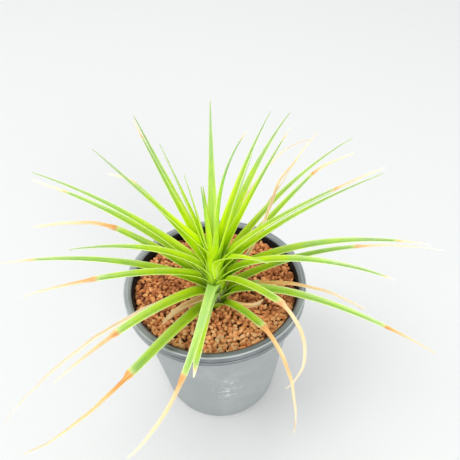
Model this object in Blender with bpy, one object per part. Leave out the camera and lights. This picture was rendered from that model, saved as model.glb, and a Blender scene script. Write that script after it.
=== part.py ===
"""A potted bromeliad: a rosette of channelled leaves on a short stem, in a round nursery pot of clay granules.

The part stands on z = 0 with the pot's axis on the Z axis. Blender works in metres; the sizes below are
written in millimetres and multiplied by MM where a mesh is made.
"""

import math
import random
from typing import NamedTuple

import bmesh
import bpy
import numpy as np
from mathutils import Vector
from mathutils.geometry import delaunay_2d_cdt

MM = 0.001
CLEARANCE = 0.3  # between neighbouring solids

# Pot: a 105 mm nursery pot
RIM_RADIUS = 52.5
POT_HEIGHT = 92.3
BASE_RADIUS = 36.8
WALL_TOP_RADIUS = 48.6  # outer side of the wall, under the rim
WALL = 0.9
FLANGE_THICKNESS = 1.3
SKIRT_DEPTH = 7.7
SKIRT_WALL = 1.6
GROOVE_HEIGHT = 87.2  # upper edge of the groove round the skirt
GROOVE_WIDTH = 1.2
GROOVE_DEPTH = 0.7
BEAD_INSET = 0.1  # the bead under the groove stands a little further in than the skirt
RIM_CHAMFER = 0.5
LIP_ROUND = 1.3  # where the wall turns out into the flange
EDGE_ROUND = 0.3
BASE_ROUND = 2.0
FLOOR_TOP = 2.6
FLOOR_CORNER = 1.0  # bevel between floor and wall
FOOT_WIDTH = 5.0  # of the ring that the pot stands on
FOOT_RISE = 1.2  # how far the rest of the underside is lifted
BOSS_RADIUS = 8.0  # flat spot at the middle of the underside
DRAIN_HOLES = 8
DRAIN_RADIUS = 3.4
DRAIN_CIRCLE = 20.0
DRAIN_SIDES = 16
POT_SIDES = 56

# Granule bed
SOIL_LEVEL = 86.4
SOIL_MOUND = 0.4  # higher round the stem
MOUND_REACH = 12.0
GRANULE = 3.5  # typical granule
GRANULE_RISE = 1.4
GRANULE_JITTER = 0.16  # as a share of the pattern's pitch
EDGE_GAP = 0.45  # the same, from the bed's edges to the nearest point
SOIL_SEED = 7
SOIL_SIDES = 56

# Stem and crown: a turned body that leans back a little, radius by height
STEM_FOOT_XY = (1.5, -13.0)
CROWN_TOP_XY = (0.5, -5.0)
STEM_FOOT = 76.0
CROWN_TOP = 119.0
CROWN_PROFILE = ((76.0, 2.6), (84.0, 3.4), (90.0, 4.2), (97.0, 5.0), (106.0, 5.0), (113.0, 4.0), (119.0, 2.2))
CROWN_SIDES = 14

# Leaf blade
RIB_THICKNESS = 0.95
EDGE_THICKNESS = 0.68
TIP_THICKNESS = 0.64
TIP_WIDTH = 0.9
BLADE_STEP = 8.0  # length of one stretch of a blade
FOLD = 0.2  # channel depth as a share of the blade's width
TAPER = 0.93  # how much of its width a blade has lost at the tip
DRY_WIDTH = 0.6  # of what has dried, as a share of the green width
DRY_TAPER = 0.5  # how much of its width a dried end has lost at its tip
DRY_NECK = 5.0  # length over which a blade narrows where it has dried
FOOT_NARROWING = 0.3  # and at its foot
LIMP_SHARE = 0.62  # a dry end hangs over this much of the blade at most
ROOT = 4.0  # how far the foot of a heart leaf is sunk into the crown


class Leaf(NamedTuple):
    """One leaf, described as it grows out of the crown. Lengths in mm, angles in degrees."""

    name: str
    turn: float  # the way it points, anticlockwise from +X seen from above
    height: float  # where it leaves the crown
    rise: float  # steepness at the crown
    droop: float  # how much flatter it is at the tip
    bend: float  # under 1 the droop comes early, over 1 late
    sway: float  # how far it swings round by the tip
    length: float
    width: float
    dry: float = 0.0  # share of the length that has dried, from the tip
    hang: float = 0.0  # extra droop of the dry end
    dead: bool = False  # dry all along, and limp only over the share above
    full: float = 1.3  # over 1 the blade stays wide further up


# The youngest leaves, which are one body with the crown
HEART_LEAVES = (
    Leaf("leaf_back_1", 88, 116, 68, 18, 1.0, 0, 80, 6.4, full=1.0),
    Leaf("leaf_left_4", 168, 117, 77, 4, 1.0, 0, 69, 5.2, full=1.0),
    Leaf("leaf_left_7", -176, 119, 56, 0, 1.0, 0, 82, 6.1, full=1.2),
    Leaf("leaf_right_2", -25, 117, 90, 32, 1.7, 0, 83, 5.7, 0.06, 10, full=1.2),
    Leaf("leaf_right_3", 45, 116, 73, 28, 1.0, 0, 80, 5.8, full=1.1),
    Leaf("leaf_right_11", -19, 113, 71, 33, 0.35, 0, 103, 6.2, 0.22, full=1.5),
    Leaf("leaf_right_16", -48, 115, 58, 36, 0.6, 0, 44, 5.0),
    Leaf("heart_5", -175, 117, 84, 4, 1.0, 0, 54, 3.6),
    Leaf("heart_6", -110, 117, 86, 4, 1.0, 0, 52, 3.4),
    Leaf("heart_r5", -5, 117, 77, 4, 1.0, 0, 66, 4.4),
    Leaf("heart_7", 110, 117, 84, 6, 1.0, 0, 40, 3.4),
    Leaf("heart_8", -70, 117, 82, 6, 1.0, 0, 34, 3.4),
)

# The leaves that stand clear of one another
LEAVES = (
    Leaf("leaf_left_2", 134, 108, 60, 7, 1.0, 0, 88, 6.0, full=1.0),
    Leaf("leaf_left_3", 150, 114, 62, -6, 1.0, 0, 82, 5.4, 0.11, full=1.2),
    Leaf("leaf_left_8", 160, 111, 59, 16, 1.0, 0, 73, 5.9, 0.2, 42, full=1.4),
    Leaf("leaf_left_9", 173, 106, 55, 33, 1.0, 0, 102, 6.5, full=1.2),
    Leaf("leaf_left_10", 163, 104, 43, 32, 1.0, 0, 106, 6.0, 0.18, full=1.6),
    Leaf("leaf_left_11", 172, 100.7, 44, 25, 1.0, 0, 103, 5.6, 0.45, 34, full=2.0),
    Leaf("leaf_left_12", -160, 108, 65, 54, 0.7, 0, 77, 5.9),
    Leaf("leaf_left_13", -170, 98, 44, 44, 1.0, 0, 110, 6.0, 0.16, full=1.5),
    Leaf("leaf_left_14", -154, 103.4, 67, 60, 0.35, 0, 95, 5.0, 0.33, full=2.5),
    Leaf("leaf_left_16", -140, 96, 56, 70, 0.4, 0, 93, 6.0, 0.37, full=2.6),
    Leaf("leaf_left_17", -153, 94, 46, 89, 0.47, 0, 132, 4.2, dead=True, full=1.8),
    Leaf("leaf_left_18", -147, 91, 46, 70, 0.5, 0, 32, 4.0, dead=True, full=3.0),
    Leaf("leaf_left_19", -126, 89, 32, 66, 0.7, -60, 126, 5.8, 0.5, full=2.5),
    Leaf("leaf_front_20", -98.8, 103, 28, 77, 1.0, -75, 106, 4.3, 0.42, full=1.8),
    Leaf("leaf_front_21", -101.5, 98, 20, 50, 1.0, 0, 52, 4.2, 0.08, full=3.0),
    Leaf("leaf_back_2", 90, 107, 46, 14, 1.0, 0, 66, 4.2),
    Leaf("leaf_back_3", 92, 97, 30, 20, 1.0, 0, 50, 3.6),
    Leaf("leaf_right_4", 54, 112, 58, 42, 1.0, 0, 93, 6.6, full=1.1),
    Leaf("leaf_right_6", 29.5, 114, 62, 9, 1.0, 0, 78, 5.3, 0.08, full=1.2),
    Leaf("leaf_right_7", 54.5, 109.7, 56, 73, 1.1, -20, 102, 3.0, dead=True, full=1.6),
    Leaf("leaf_right_8", 12, 98.5, 42, -48, 0.6, 0, 99, 3.0, 0.35, 34, dead=True, full=2.5),
    Leaf("leaf_right_9", 33, 108, 49, 42, 1.0, 0, 104, 5.2, full=1.1),
    Leaf("leaf_right_10", 22, 104.5, 48, 10, 1.0, 0, 96, 5.5, 0.26, 31, full=1.5),
    Leaf("leaf_right_12", -6, 110, 52, 22, 1.0, 0, 97, 5.4, full=1.2),
    Leaf("leaf_right_13", -8, 102.5, 52, 60, 0.8, 0, 110, 5.9, 0.14, full=1.8),
    Leaf("leaf_right_14", -3, 95, 44, 58, 1.0, 0, 120, 6.0, 0.37, full=2.0),
    Leaf("leaf_right_15", -25, 106, 55, 62, 0.8, 0, 94, 5.1, 0.05, full=1.3),
    Leaf("leaf_right_17", -53.5, 104, 59, 70, 0.5, 0, 127, 4.1, 0.59, 100, full=2.4),
    Leaf("leaf_right_18", -60, 88.5, 48, 64, 0.8, 0, 118, 4.2, 0.6, 75, full=2.4),
    Leaf("leaf_right_19", -33, 91.7, 68, 80, 0.5, 0, 117, 5.6, 0.19, full=1.8),
    Leaf("leaf_right_20", 43, 98, 47, 14, 1.0, 0, 80, 2.8, dead=True, full=1.8),
    Leaf("leaf_right_21", -15, 89.5, 60, 95, 0.8, 0, 84, 4.6, 0.7, full=2.0),
    Leaf("leaf_right_22", -27.5, 88.6, 3, 0, 1.0, 100, 25, 2.3, dead=True, full=3.0),
)


def crown_place(height):
    """The axis point (x, y) and the radius of the stem and crown at a height."""
    share = (height - STEM_FOOT) / (CROWN_TOP - STEM_FOOT)
    x, y = (foot + (top - foot) * share for foot, top in zip(STEM_FOOT_XY, CROWN_TOP_XY))
    heights, radii = zip(*CROWN_PROFILE)
    return x, y, float(np.interp(height, heights, radii))


def leaf_line(leaf, stretches, root=0.0):
    """Follows a leaf from the crown to its tip, with its foot sunk by root.

    Returns the points of the blade's middle line, and for each the unit vectors along the blade,
    across it and up out of its channel.
    """
    share = np.linspace(0.0, 1.0, stretches + 1)
    middle = (share[:-1] + share[1:]) / 2

    def heading(at):
        limp = max(min(leaf.dry, LIMP_SHARE), 0.01)
        hang = leaf.hang * (1.0 - (1.0 - np.clip((at - 1.0 + limp) / limp, 0.0, 1.0)) ** 4)
        pitch = np.radians(leaf.rise - leaf.droop * at ** leaf.bend - hang)
        yaw = np.radians(leaf.turn + leaf.sway * at**3)
        along = np.stack([np.cos(pitch) * np.cos(yaw), np.cos(pitch) * np.sin(yaw), np.sin(pitch)], 1)
        across = np.stack([-np.sin(yaw), np.cos(yaw), np.zeros_like(yaw)], 1)
        return along, across

    turn = math.radians(leaf.turn)
    x, y, radius = crown_place(leaf.height)
    seat = radius + CLEARANCE
    start = np.array([x + seat * math.cos(turn), y + seat * math.sin(turn), leaf.height])
    steps = heading(middle)[0] * leaf.length / stretches
    points = np.vstack([start, start + np.cumsum(steps, axis=0)])
    along, across = heading(share)
    points[0] -= along[0] * root
    return points, along, across, np.cross(along, across)


def blade_mesh(leaf, root=0.0):
    """Vertices (mm) and faces of a leaf: a shallow channel that tapers to the tip.

    Every ring has six corners: left edge, rib and right edge on the upper face, then the same three
    below. Both faces are split along the same diagonals, so they stay apart where the blade bends.
    """
    stretches = max(5, round(leaf.length / BLADE_STEP))
    points, along, across, up = leaf_line(leaf, stretches, root)
    share = np.linspace(0.0, 1.0, stretches + 1)[:, None]
    half = np.maximum(leaf.width * blade_taper(leaf, share), TIP_WIDTH) / 2
    channel = 2 * half * FOLD * np.clip(0.3 + share / 0.2, 0.0, 1.0)
    rib = RIB_THICKNESS + (TIP_THICKNESS - RIB_THICKNESS) * share
    edge = EDGE_THICKNESS + (TIP_THICKNESS - EDGE_THICKNESS) * share

    left = points + across * half + up * channel
    right = points - across * half + up * channel
    rings = np.stack([left, points, right, right - up * edge, points - up * rib, left - up * edge], 1)
    count = rings.shape[1]
    faces = [(0, 5, 4, 1), (1, 4, 3, 2)]
    for ring in range(stretches):
        here, ahead = ring * count, (ring + 1) * count
        for near, far in ((0, 1), (2, 1), (5, 4), (3, 4)):
            outward = near in (2, 5)
            first = (here + near, here + far, ahead + far)
            second = (here + near, ahead + far, ahead + near)
            faces += [first[::-1], second[::-1]] if outward else [first, second]
        faces += [(here + 2, here + 3, ahead + 3, ahead + 2), (here + 5, here, ahead, ahead + 5)]
    last = stretches * count
    faces += [(last + 1, last + 4, last + 5, last), (last + 2, last + 3, last + 4, last + 1)]
    return rings.reshape(-1, 3), faces


def blade_taper(leaf, share):
    """Width of a blade as a share of its widest, by the share of its length.

    It narrows towards the tip, at once where it has dried, and a little at the foot.
    """
    dried = 0.0 if leaf.dead else leaf.dry
    green = np.minimum(share, 1.0 - dried)
    past_front = (share - green) * leaf.length
    width = 1.0 - TAPER * green**leaf.full
    width = width * (1.0 - (1.0 - DRY_WIDTH) * np.clip(past_front / DRY_NECK, 0.0, 1.0))
    width = width * (1.0 - DRY_TAPER * past_front / max(dried * leaf.length, DRY_NECK))
    return width * np.clip(1.0 - FOOT_NARROWING + share * 2.0, 0.0, 1.0)


def clear_scene():
    """Removes whatever objects the scene starts with."""
    for obj in list(bpy.data.objects):
        bpy.data.objects.remove(obj, do_unlink=True)


def plain_material(name, colour, roughness):
    """A Principled material from an sRGB colour, each channel from 0 to 1."""
    material = bpy.data.materials.new(name)
    material.use_nodes = True
    shader = material.node_tree.nodes["Principled BSDF"]
    linear = [channel / 12.92 if channel <= 0.04045 else ((channel + 0.055) / 1.055) ** 2.4 for channel in colour]
    shader.inputs["Base Color"].default_value = (*linear, 1.0)
    shader.inputs["Roughness"].default_value = roughness
    shader.inputs["Metallic"].default_value = 0.0
    material.diffuse_color = (*linear, 1.0)
    return material


def add_mesh_object(name, vertices, faces, material=None, smooth_angle=None):
    """Makes an object from vertices in mm, shaded smooth up to an angle in degrees if one is given."""
    mesh = bpy.data.meshes.new(name)
    mesh.from_pydata((np.asarray(vertices) * MM).tolist(), [], faces)
    mesh.validate()
    obj = bpy.data.objects.new(name, mesh)
    bpy.context.scene.collection.objects.link(obj)
    if material:
        mesh.materials.append(material)
    if smooth_angle is not None:
        mesh.shade_smooth()
        mesh.set_sharp_from_angle(angle=math.radians(smooth_angle))
    return obj


def lathe(profile, sides):
    """Vertices and faces of a profile turned about Z, as (radius, height) pairs in mm.

    The profile runs up the inside and down the outside, and starts and ends on the axis.
    """
    vertices = [(0.0, 0.0, profile[0][1])]
    for radius, height in profile[1:-1]:
        for side in range(sides):
            angle = 2 * math.pi * side / sides
            vertices.append((radius * math.cos(angle), radius * math.sin(angle), height))
    vertices.append((0.0, 0.0, profile[-1][1]))
    rings = len(profile) - 2
    last = len(vertices) - 1
    faces = []
    for side in range(sides):
        beside = (side + 1) % sides
        faces.append((0, 1 + side, 1 + beside))
        for ring in range(rings - 1):
            near, far = 1 + ring * sides, 1 + (ring + 1) * sides
            faces.append((near + side, far + side, far + beside, near + beside))
        end = 1 + (rings - 1) * sides
        faces.append((end + side, last, end + beside))
    return vertices, faces


def wall_radius(height):
    """Outer radius of the pot's tapering wall."""
    return BASE_RADIUS + (WALL_TOP_RADIUS - BASE_RADIUS) * height / POT_HEIGHT


def inner_radius(height):
    """Inner radius of the pot's wall."""
    return wall_radius(height) - WALL


def build_pot(material):
    """The pot: floor on a foot ring, tapering wall, flat rim and a grooved skirt turned down round it."""
    under_flange = POT_HEIGHT - FLANGE_THICKNESS
    skirt_foot = POT_HEIGHT - SKIRT_DEPTH
    bead_radius = RIM_RADIUS - BEAD_INSET
    foot_inner = BASE_RADIUS - BASE_ROUND - FOOT_WIDTH
    lip_radius = inner_radius(POT_HEIGHT)
    half_round = LIP_ROUND * (1.0 - math.cos(math.pi / 4))
    profile = [
        (0.0, FLOOR_TOP),
        (inner_radius(FLOOR_TOP) - FLOOR_CORNER, FLOOR_TOP),
        (inner_radius(FLOOR_TOP), FLOOR_TOP + FLOOR_CORNER),
        (inner_radius(under_flange), under_flange),
        (lip_radius + half_round, POT_HEIGHT - half_round),
        (lip_radius + LIP_ROUND, POT_HEIGHT),
        (RIM_RADIUS - RIM_CHAMFER, POT_HEIGHT),
        (RIM_RADIUS, POT_HEIGHT - RIM_CHAMFER),
        (RIM_RADIUS, GROOVE_HEIGHT),
        (RIM_RADIUS - GROOVE_DEPTH, GROOVE_HEIGHT - EDGE_ROUND),
        (RIM_RADIUS - GROOVE_DEPTH, GROOVE_HEIGHT - GROOVE_WIDTH + EDGE_ROUND),
        (bead_radius, GROOVE_HEIGHT - GROOVE_WIDTH),
        (bead_radius, skirt_foot + EDGE_ROUND),
        (bead_radius - EDGE_ROUND, skirt_foot),
        (RIM_RADIUS - SKIRT_WALL, skirt_foot),
        (RIM_RADIUS - SKIRT_WALL, under_flange),
        (wall_radius(under_flange), under_flange),
        (wall_radius(BASE_ROUND), BASE_ROUND),
        (BASE_RADIUS - BASE_ROUND * 0.3, BASE_ROUND * 0.3),
        (BASE_RADIUS - BASE_ROUND, 0.0),
        (foot_inner, 0.0),
        (foot_inner - FOOT_RISE, FOOT_RISE),
        (BOSS_RADIUS + FOOT_RISE, FOOT_RISE),
        (BOSS_RADIUS, 0.0),
        (0.0, 0.0),
    ]
    pot = add_mesh_object("pot", *lathe(profile, POT_SIDES), material, 35)

    bm = bmesh.new()
    for hole in range(DRAIN_HOLES):
        angle = 2 * math.pi * hole / DRAIN_HOLES
        place = Vector((math.cos(angle), math.sin(angle), 0.0)) * DRAIN_CIRCLE * MM
        drill = bmesh.ops.create_cone(
            bm,
            cap_ends=True,
            segments=DRAIN_SIDES,
            radius1=DRAIN_RADIUS * MM,
            radius2=DRAIN_RADIUS * MM,
            depth=4 * FLOOR_TOP * MM,
        )
        bmesh.ops.translate(bm, vec=place, verts=drill["verts"])
    mesh = bpy.data.meshes.new("drain_drills")
    bm.to_mesh(mesh)
    bm.free()
    drills = bpy.data.objects.new("drain_drills", mesh)
    bpy.context.scene.collection.objects.link(drills)
    drills.hide_render = True
    drills.display_type = "WIRE"
    cut = pot.modifiers.new("drain holes", "BOOLEAN")
    cut.operation = "DIFFERENCE"
    cut.solver = "EXACT"
    cut.object = drills


def granule_tops(hole_radius, outer_radius):
    """Points of the bed's surface: a close-packed pattern where every third point is a granule's top.

    The pattern is jittered, and each point's height is drawn at random, higher on the tops.
    """
    draw = random.Random(SOIL_SEED)
    foot_x, foot_y, _ = crown_place(SOIL_LEVEL)
    pitch = GRANULE / math.sqrt(3)
    points = []
    reach = int(outer_radius / pitch) + 3
    for row in range(-reach, reach + 1):
        for column in range(-reach, reach + 1):
            top = (column - row) % 3 == 0
            jitter = GRANULE_JITTER * pitch
            x = pitch * (column + row / 2) + draw.uniform(-jitter, jitter)
            y = pitch * row * math.sqrt(3) / 2 + draw.uniform(-jitter, jitter)
            height = draw.uniform(0.55, 1.0) * GRANULE_RISE if top else draw.uniform(-0.6, 0.0) * GRANULE_RISE
            from_stem = math.hypot(x - foot_x, y - foot_y)
            edge_gap = EDGE_GAP * pitch
            if from_stem < hole_radius + edge_gap or math.hypot(x, y) > outer_radius - edge_gap:
                continue
            mound = SOIL_MOUND * math.exp(-((from_stem / MOUND_REACH) ** 2))
            points.append((x, y, SOIL_LEVEL - GRANULE_RISE / 2 + mound + height))
    return points


def build_soil(material):
    """The granule bed: a knobbly top over a plain body that fills the pot, with a hole for the stem."""
    foot_x, foot_y, stem_radius = crown_place(SOIL_LEVEL)
    hole_radius = stem_radius + CLEARANCE
    hole_floor = STEM_FOOT - CLEARANCE
    shoulder = SOIL_LEVEL - 2 * GRANULE_RISE
    fit = math.cos(math.pi / POT_SIDES)  # the pot's wall is a polygon, nearest in the middle of a side
    outer_radius = inner_radius(shoulder) * fit - CLEARANCE
    base = FLOOR_TOP + CLEARANCE
    base_radius = inner_radius(FLOOR_TOP) * fit - FLOOR_CORNER - CLEARANCE

    def ring(radius, sides, centre, height):
        angles = (2 * math.pi * side / sides for side in range(sides))
        return [(centre[0] + radius * math.cos(a), centre[1] + radius * math.sin(a), height) for a in angles]

    inside = granule_tops(hole_radius, outer_radius)
    rim = ring(outer_radius, SOIL_SIDES, (0.0, 0.0), shoulder)
    mouth = ring(hole_radius, CROWN_SIDES, (foot_x, foot_y), SOIL_LEVEL)
    surface = rim + mouth + inside
    edges = [(side, (side + 1) % SOIL_SIDES) for side in range(SOIL_SIDES)]
    edges += [(SOIL_SIDES + side, SOIL_SIDES + (side + 1) % CROWN_SIDES) for side in range(CROWN_SIDES)]
    flat = [Vector(point[:2]) for point in surface]
    triangles = delaunay_2d_cdt(flat, edges, [], 0, 1e-6, False)[2]

    def over_stem(triangle):
        middle = sum((flat[corner] for corner in triangle), Vector((0.0, 0.0))) / 3
        return (middle - Vector((foot_x, foot_y))).length < hole_radius * math.cos(math.pi / CROWN_SIDES)

    faces = [triangle if is_counterclockwise(flat, triangle) else triangle[::-1] for triangle in triangles]
    faces = [triangle for triangle in faces if not over_stem(triangle)]

    stem_x, stem_y, _ = crown_place(STEM_FOOT)
    bottom = len(surface)
    vertices = surface + ring(base_radius, SOIL_SIDES, (0.0, 0.0), base)
    well = len(vertices)
    vertices += ring(hole_radius, CROWN_SIDES, (stem_x, stem_y), hole_floor)
    for side in range(SOIL_SIDES):
        beside = (side + 1) % SOIL_SIDES
        faces.append((side, bottom + side, bottom + beside, beside))
    for side in range(CROWN_SIDES):
        beside = (side + 1) % CROWN_SIDES
        faces.append((SOIL_SIDES + side, SOIL_SIDES + beside, well + beside, well + side))
    faces.append(tuple(range(bottom, bottom + SOIL_SIDES))[::-1])
    faces.append(tuple(range(well, well + CROWN_SIDES)))
    add_mesh_object("soil", vertices, faces, material)


def is_counterclockwise(points, triangle):
    """Whether a triangle of 2-D points turns anticlockwise."""
    a, b, c = (points[corner] for corner in triangle)
    return (b - a).cross(c - a) > 0


def build_crown(material):
    """The stem and crown with the youngest leaves, joined by one Boolean union."""
    vertices = []
    for height, _ in CROWN_PROFILE:
        x, y, radius = crown_place(height)
        for side in range(CROWN_SIDES):
            angle = 2 * math.pi * side / CROWN_SIDES
            vertices.append((x + radius * math.cos(angle), y + radius * math.sin(angle), height))
    faces = [tuple(range(CROWN_SIDES))[::-1]]
    for ring in range(len(CROWN_PROFILE) - 1):
        for side in range(CROWN_SIDES):
            beside = (side + 1) % CROWN_SIDES
            near, far = ring * CROWN_SIDES, (ring + 1) * CROWN_SIDES
            faces.append((near + side, near + beside, far + beside, far + side))
    top = (len(CROWN_PROFILE) - 1) * CROWN_SIDES
    faces.append(tuple(range(top, top + CROWN_SIDES)))
    crown = add_mesh_object("crown", vertices, faces, material, 40)

    young = bpy.data.collections.new("heart leaves")
    bpy.context.scene.collection.children.link(young)
    for leaf in HEART_LEAVES:
        blade = add_mesh_object(leaf.name, *blade_mesh(leaf, ROOT))
        bpy.context.scene.collection.objects.unlink(blade)
        young.objects.link(blade)
    join = crown.modifiers.new("heart leaves", "BOOLEAN")
    join.operation = "UNION"
    join.solver = "EXACT"
    join.operand_type = "COLLECTION"
    join.collection = young
    apply_modifiers(crown)
    for blade in list(young.objects):
        bpy.data.objects.remove(blade, do_unlink=True)
    bpy.data.collections.remove(young)


def apply_modifiers(obj):
    """Turns an object's evaluated mesh into its own mesh."""
    graph = bpy.context.evaluated_depsgraph_get()
    mesh = bpy.data.meshes.new_from_object(obj.evaluated_get(graph))
    obj.modifiers.clear()
    obj.data = mesh


def main():
    clear_scene()
    plastic = plain_material("pot plastic", (0.40, 0.42, 0.43), 0.42)
    clay = plain_material("clay granules", (0.74, 0.50, 0.30), 0.9)
    green = plain_material("green leaf", (0.62, 0.76, 0.32), 0.45)
    straw = plain_material("dead leaf", (0.92, 0.78, 0.53), 0.7)
    build_pot(plastic)
    build_soil(clay)
    build_crown(green)
    for leaf in LEAVES:
        add_mesh_object(leaf.name, *blade_mesh(leaf), straw if leaf.dead else green, 30)


main()
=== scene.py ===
"""The looks of a potted bromeliad: channelled leaves on a short stem, in a pot of fired-clay granules.

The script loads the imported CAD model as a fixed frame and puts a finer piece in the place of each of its
nodes: a turned pot with drain holes, a bed of single granules, the stem with its old sheaths, and one blade
for each leaf. Every leaf grows from the same row of numbers as in the CAD, so it lies along its solid.

Tables and sizes are in millimetres and degrees, meshes in metres. The pot's axis is the Z axis, the floor
is z = 0, and the camera looks from the -Y side.
"""

from __future__ import annotations

import logging
import math
from collections.abc import Callable
from dataclasses import dataclass, field
from enum import Enum
from functools import partial

import bpy
import numpy as np
from mathutils import Matrix, Vector

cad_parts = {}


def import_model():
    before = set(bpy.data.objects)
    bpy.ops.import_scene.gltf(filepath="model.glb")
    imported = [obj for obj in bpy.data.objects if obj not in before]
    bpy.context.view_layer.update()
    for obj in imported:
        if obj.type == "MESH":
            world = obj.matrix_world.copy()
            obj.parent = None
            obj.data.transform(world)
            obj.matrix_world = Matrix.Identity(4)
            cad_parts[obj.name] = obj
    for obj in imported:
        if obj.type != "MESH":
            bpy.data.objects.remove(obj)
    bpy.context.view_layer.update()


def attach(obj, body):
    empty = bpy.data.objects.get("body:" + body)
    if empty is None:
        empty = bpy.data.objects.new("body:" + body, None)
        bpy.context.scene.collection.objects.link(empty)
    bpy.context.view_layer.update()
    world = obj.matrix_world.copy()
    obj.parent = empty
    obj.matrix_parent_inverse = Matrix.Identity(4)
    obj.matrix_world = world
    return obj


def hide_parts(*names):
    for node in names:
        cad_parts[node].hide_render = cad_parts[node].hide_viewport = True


Ramp = tuple[tuple[float, str], ...]  # a colour ramp's positions with their hex colours
MM = 0.001
BODY = "root"
CLEARANCE = 0.3  # between neighbouring solids of the CAD
log = logging.getLogger("bromeliad")


class Slot(Enum):
    """The record's material slots."""

    POT = "pot_plastic"
    GRANULES = "clay_granules"
    GREEN = "green_leaf"
    DRY = "dry_leaf"


class Life(Enum):
    """How a leaf is doing: growing, or dried along its whole length."""

    LIVING = "living"
    DEAD = "dead"


def linear(colour: str) -> tuple[float, float, float, float]:
    """Turns an sRGB hex colour into linear RGBA.

    Args:
        colour: Seven characters such as "#a0c040".

    Returns:
        The linear red, green and blue, and an alpha of 1.
    """
    channels = np.array([int(colour[at : at + 2], 16) / 255.0 for at in (1, 3, 5)])
    low = channels / 12.92
    high = ((channels + 0.055) / 1.055) ** 2.4
    return (*np.where(channels <= 0.04045, low, high).tolist(), 1.0)


def smoothstep(value: np.ndarray | float, low: float, high: float) -> np.ndarray:
    """Rises from 0 at low to 1 at high along 3t^2 - 2t^3."""
    t = np.clip((np.asarray(value, float) - low) / (high - low), 0.0, 1.0)
    return t * t * (3.0 - 2.0 * t)


def fill(node: bpy.types.Node, settings: dict, links: dict) -> None:
    """Sets a shader node's values and links what feeds it.

    Args:
        node: The node.
        settings: Properties by name, and input values by socket name or number.
        links: What feeds each input, by socket name or number: an output socket, or a node for the first of
            its outputs that its settings leave in use.
    """
    for key, value in settings.items():
        if isinstance(key, str) and hasattr(node, key):
            setattr(node, key, value)
        else:
            node.inputs[key].default_value = value
    for key, source in links.items():
        if isinstance(source, bpy.types.Node):
            source = next(output for output in source.outputs if output.enabled)
        node.id_data.links.new(source, node.inputs[key])


def add_node(
    tree: bpy.types.NodeTree,
    kind: str,
    settings: dict | None = None,
    links: dict | None = None,
    stops: Ramp = (),
) -> bpy.types.Node:
    """Adds one shader node.

    Args:
        tree: The material's node tree.
        kind: The node's type without its prefix, such as "TexNoise".
        settings: Its values, as in fill.
        links: What feeds it, as in fill.
        stops: The colours of a colour ramp.

    Returns:
        The new node.
    """
    made = tree.nodes.new(f"ShaderNode{kind}")
    fill(made, settings or {}, links or {})
    if stops:
        elements = made.color_ramp.elements
        while len(elements) < len(stops):
            elements.new(1.0)
        for element, (place, colour) in zip(elements, stops):
            element.position = place
            element.color = linear(colour)
    return made


def new_material(name: str) -> tuple[bpy.types.Material, Callable[..., bpy.types.Node], bpy.types.Node]:
    """Makes an empty node material.

    Args:
        name: What the real material is.

    Returns:
        The material, add_node for its own tree, and its Principled shader.
    """
    material = bpy.data.materials.new(name)
    material.use_nodes = True
    tree = material.node_tree
    return material, partial(add_node, tree), tree.nodes["Principled BSDF"]


def grid_quads(rows: int, columns: int, closed: bool = False) -> np.ndarray:
    """Joins a grid of points, numbered row by row, with quads.

    Quad (i, j) runs from point (i, j) to (i, j + 1), (i + 1, j + 1) and (i + 1, j).

    Args:
        rows: Number of rows of points.
        columns: Points in a row.
        closed: Whether each row's last point joins its first.

    Returns:
        Four point numbers for each quad.
    """
    row, column = np.indices((rows - 1, columns if closed else columns - 1))
    beside = (column + 1) % columns
    here, ahead = row * columns, (row + 1) * columns
    return np.stack([here + column, here + beside, ahead + beside, ahead + column], -1).reshape(-1, 4)


def circle(count: int) -> np.ndarray:
    """Angles, in radians, that part a full turn evenly."""
    return np.linspace(0.0, 2 * np.pi, count, endpoint=False)


def revolve(section: np.ndarray, sides: int) -> tuple[np.ndarray, np.ndarray, np.ndarray]:
    """Turns a half section round the Z axis.

    Args:
        section: Rows (radius, height) down the outside. The first row and the last are on the axis.
        sides: Points round the axis.

    Returns:
        The points, ring by ring and then the two on the axis, the quads, and the triangles at both ends.
    """
    radius, height = section[1:-1].T[..., None]
    angle = circle(sides)
    upright = np.repeat(height, sides, 1)
    rings = np.stack([radius * np.cos(angle), radius * np.sin(angle), upright], -1).reshape(-1, 3)
    ends = np.array([(0.0, 0.0, section[0, 1]), (0.0, 0.0, section[-1, 1])])
    side = np.arange(sides)
    beside = (side + 1) % sides
    middle = len(rings)
    last = middle - sides
    first_fan = np.stack([np.full(sides, middle), side, beside], 1)
    last_fan = np.stack([np.full(sides, middle + 1), last + beside, last + side], 1)
    quads = grid_quads(len(radius), sides, closed=True)[:, ::-1]
    return np.vstack([rings, ends]), quads, np.vstack([first_fan, last_fan])


def add_piece(
    name: str,
    points: np.ndarray,
    faces: list,
    material: bpy.types.Material,
    smooth_angle: float = 40.0,
    attributes: dict[str, np.ndarray] | None = None,
) -> bpy.types.Object:
    """Makes a mesh object at the origin.

    Args:
        name: The object's name.
        points: One row (x, y, z) for each vertex, in mm.
        faces: Vertex numbers of each face, outward.
        material: Its finish.
        smooth_angle: Edges sharper than this many degrees stay sharp.
        attributes: Values for each vertex by name, single or in threes.

    Returns:
        The object, linked to the scene.
    """
    mesh = bpy.data.meshes.new(name)
    mesh.from_pydata((points * MM).tolist(), [], faces)
    for label, values in (attributes or {}).items():
        single = values.ndim == 1
        layer = mesh.attributes.new(label, "FLOAT" if single else "FLOAT_VECTOR", "POINT")
        layer.data.foreach_set("value" if single else "vector", values.astype(np.float32).ravel())
    mesh.validate()
    mesh.shade_smooth()
    mesh.set_sharp_from_angle(angle=math.radians(smooth_angle))
    mesh.materials.append(material)
    obj = bpy.data.objects.new(name, mesh)
    bpy.context.scene.collection.objects.link(obj)
    return obj


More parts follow.
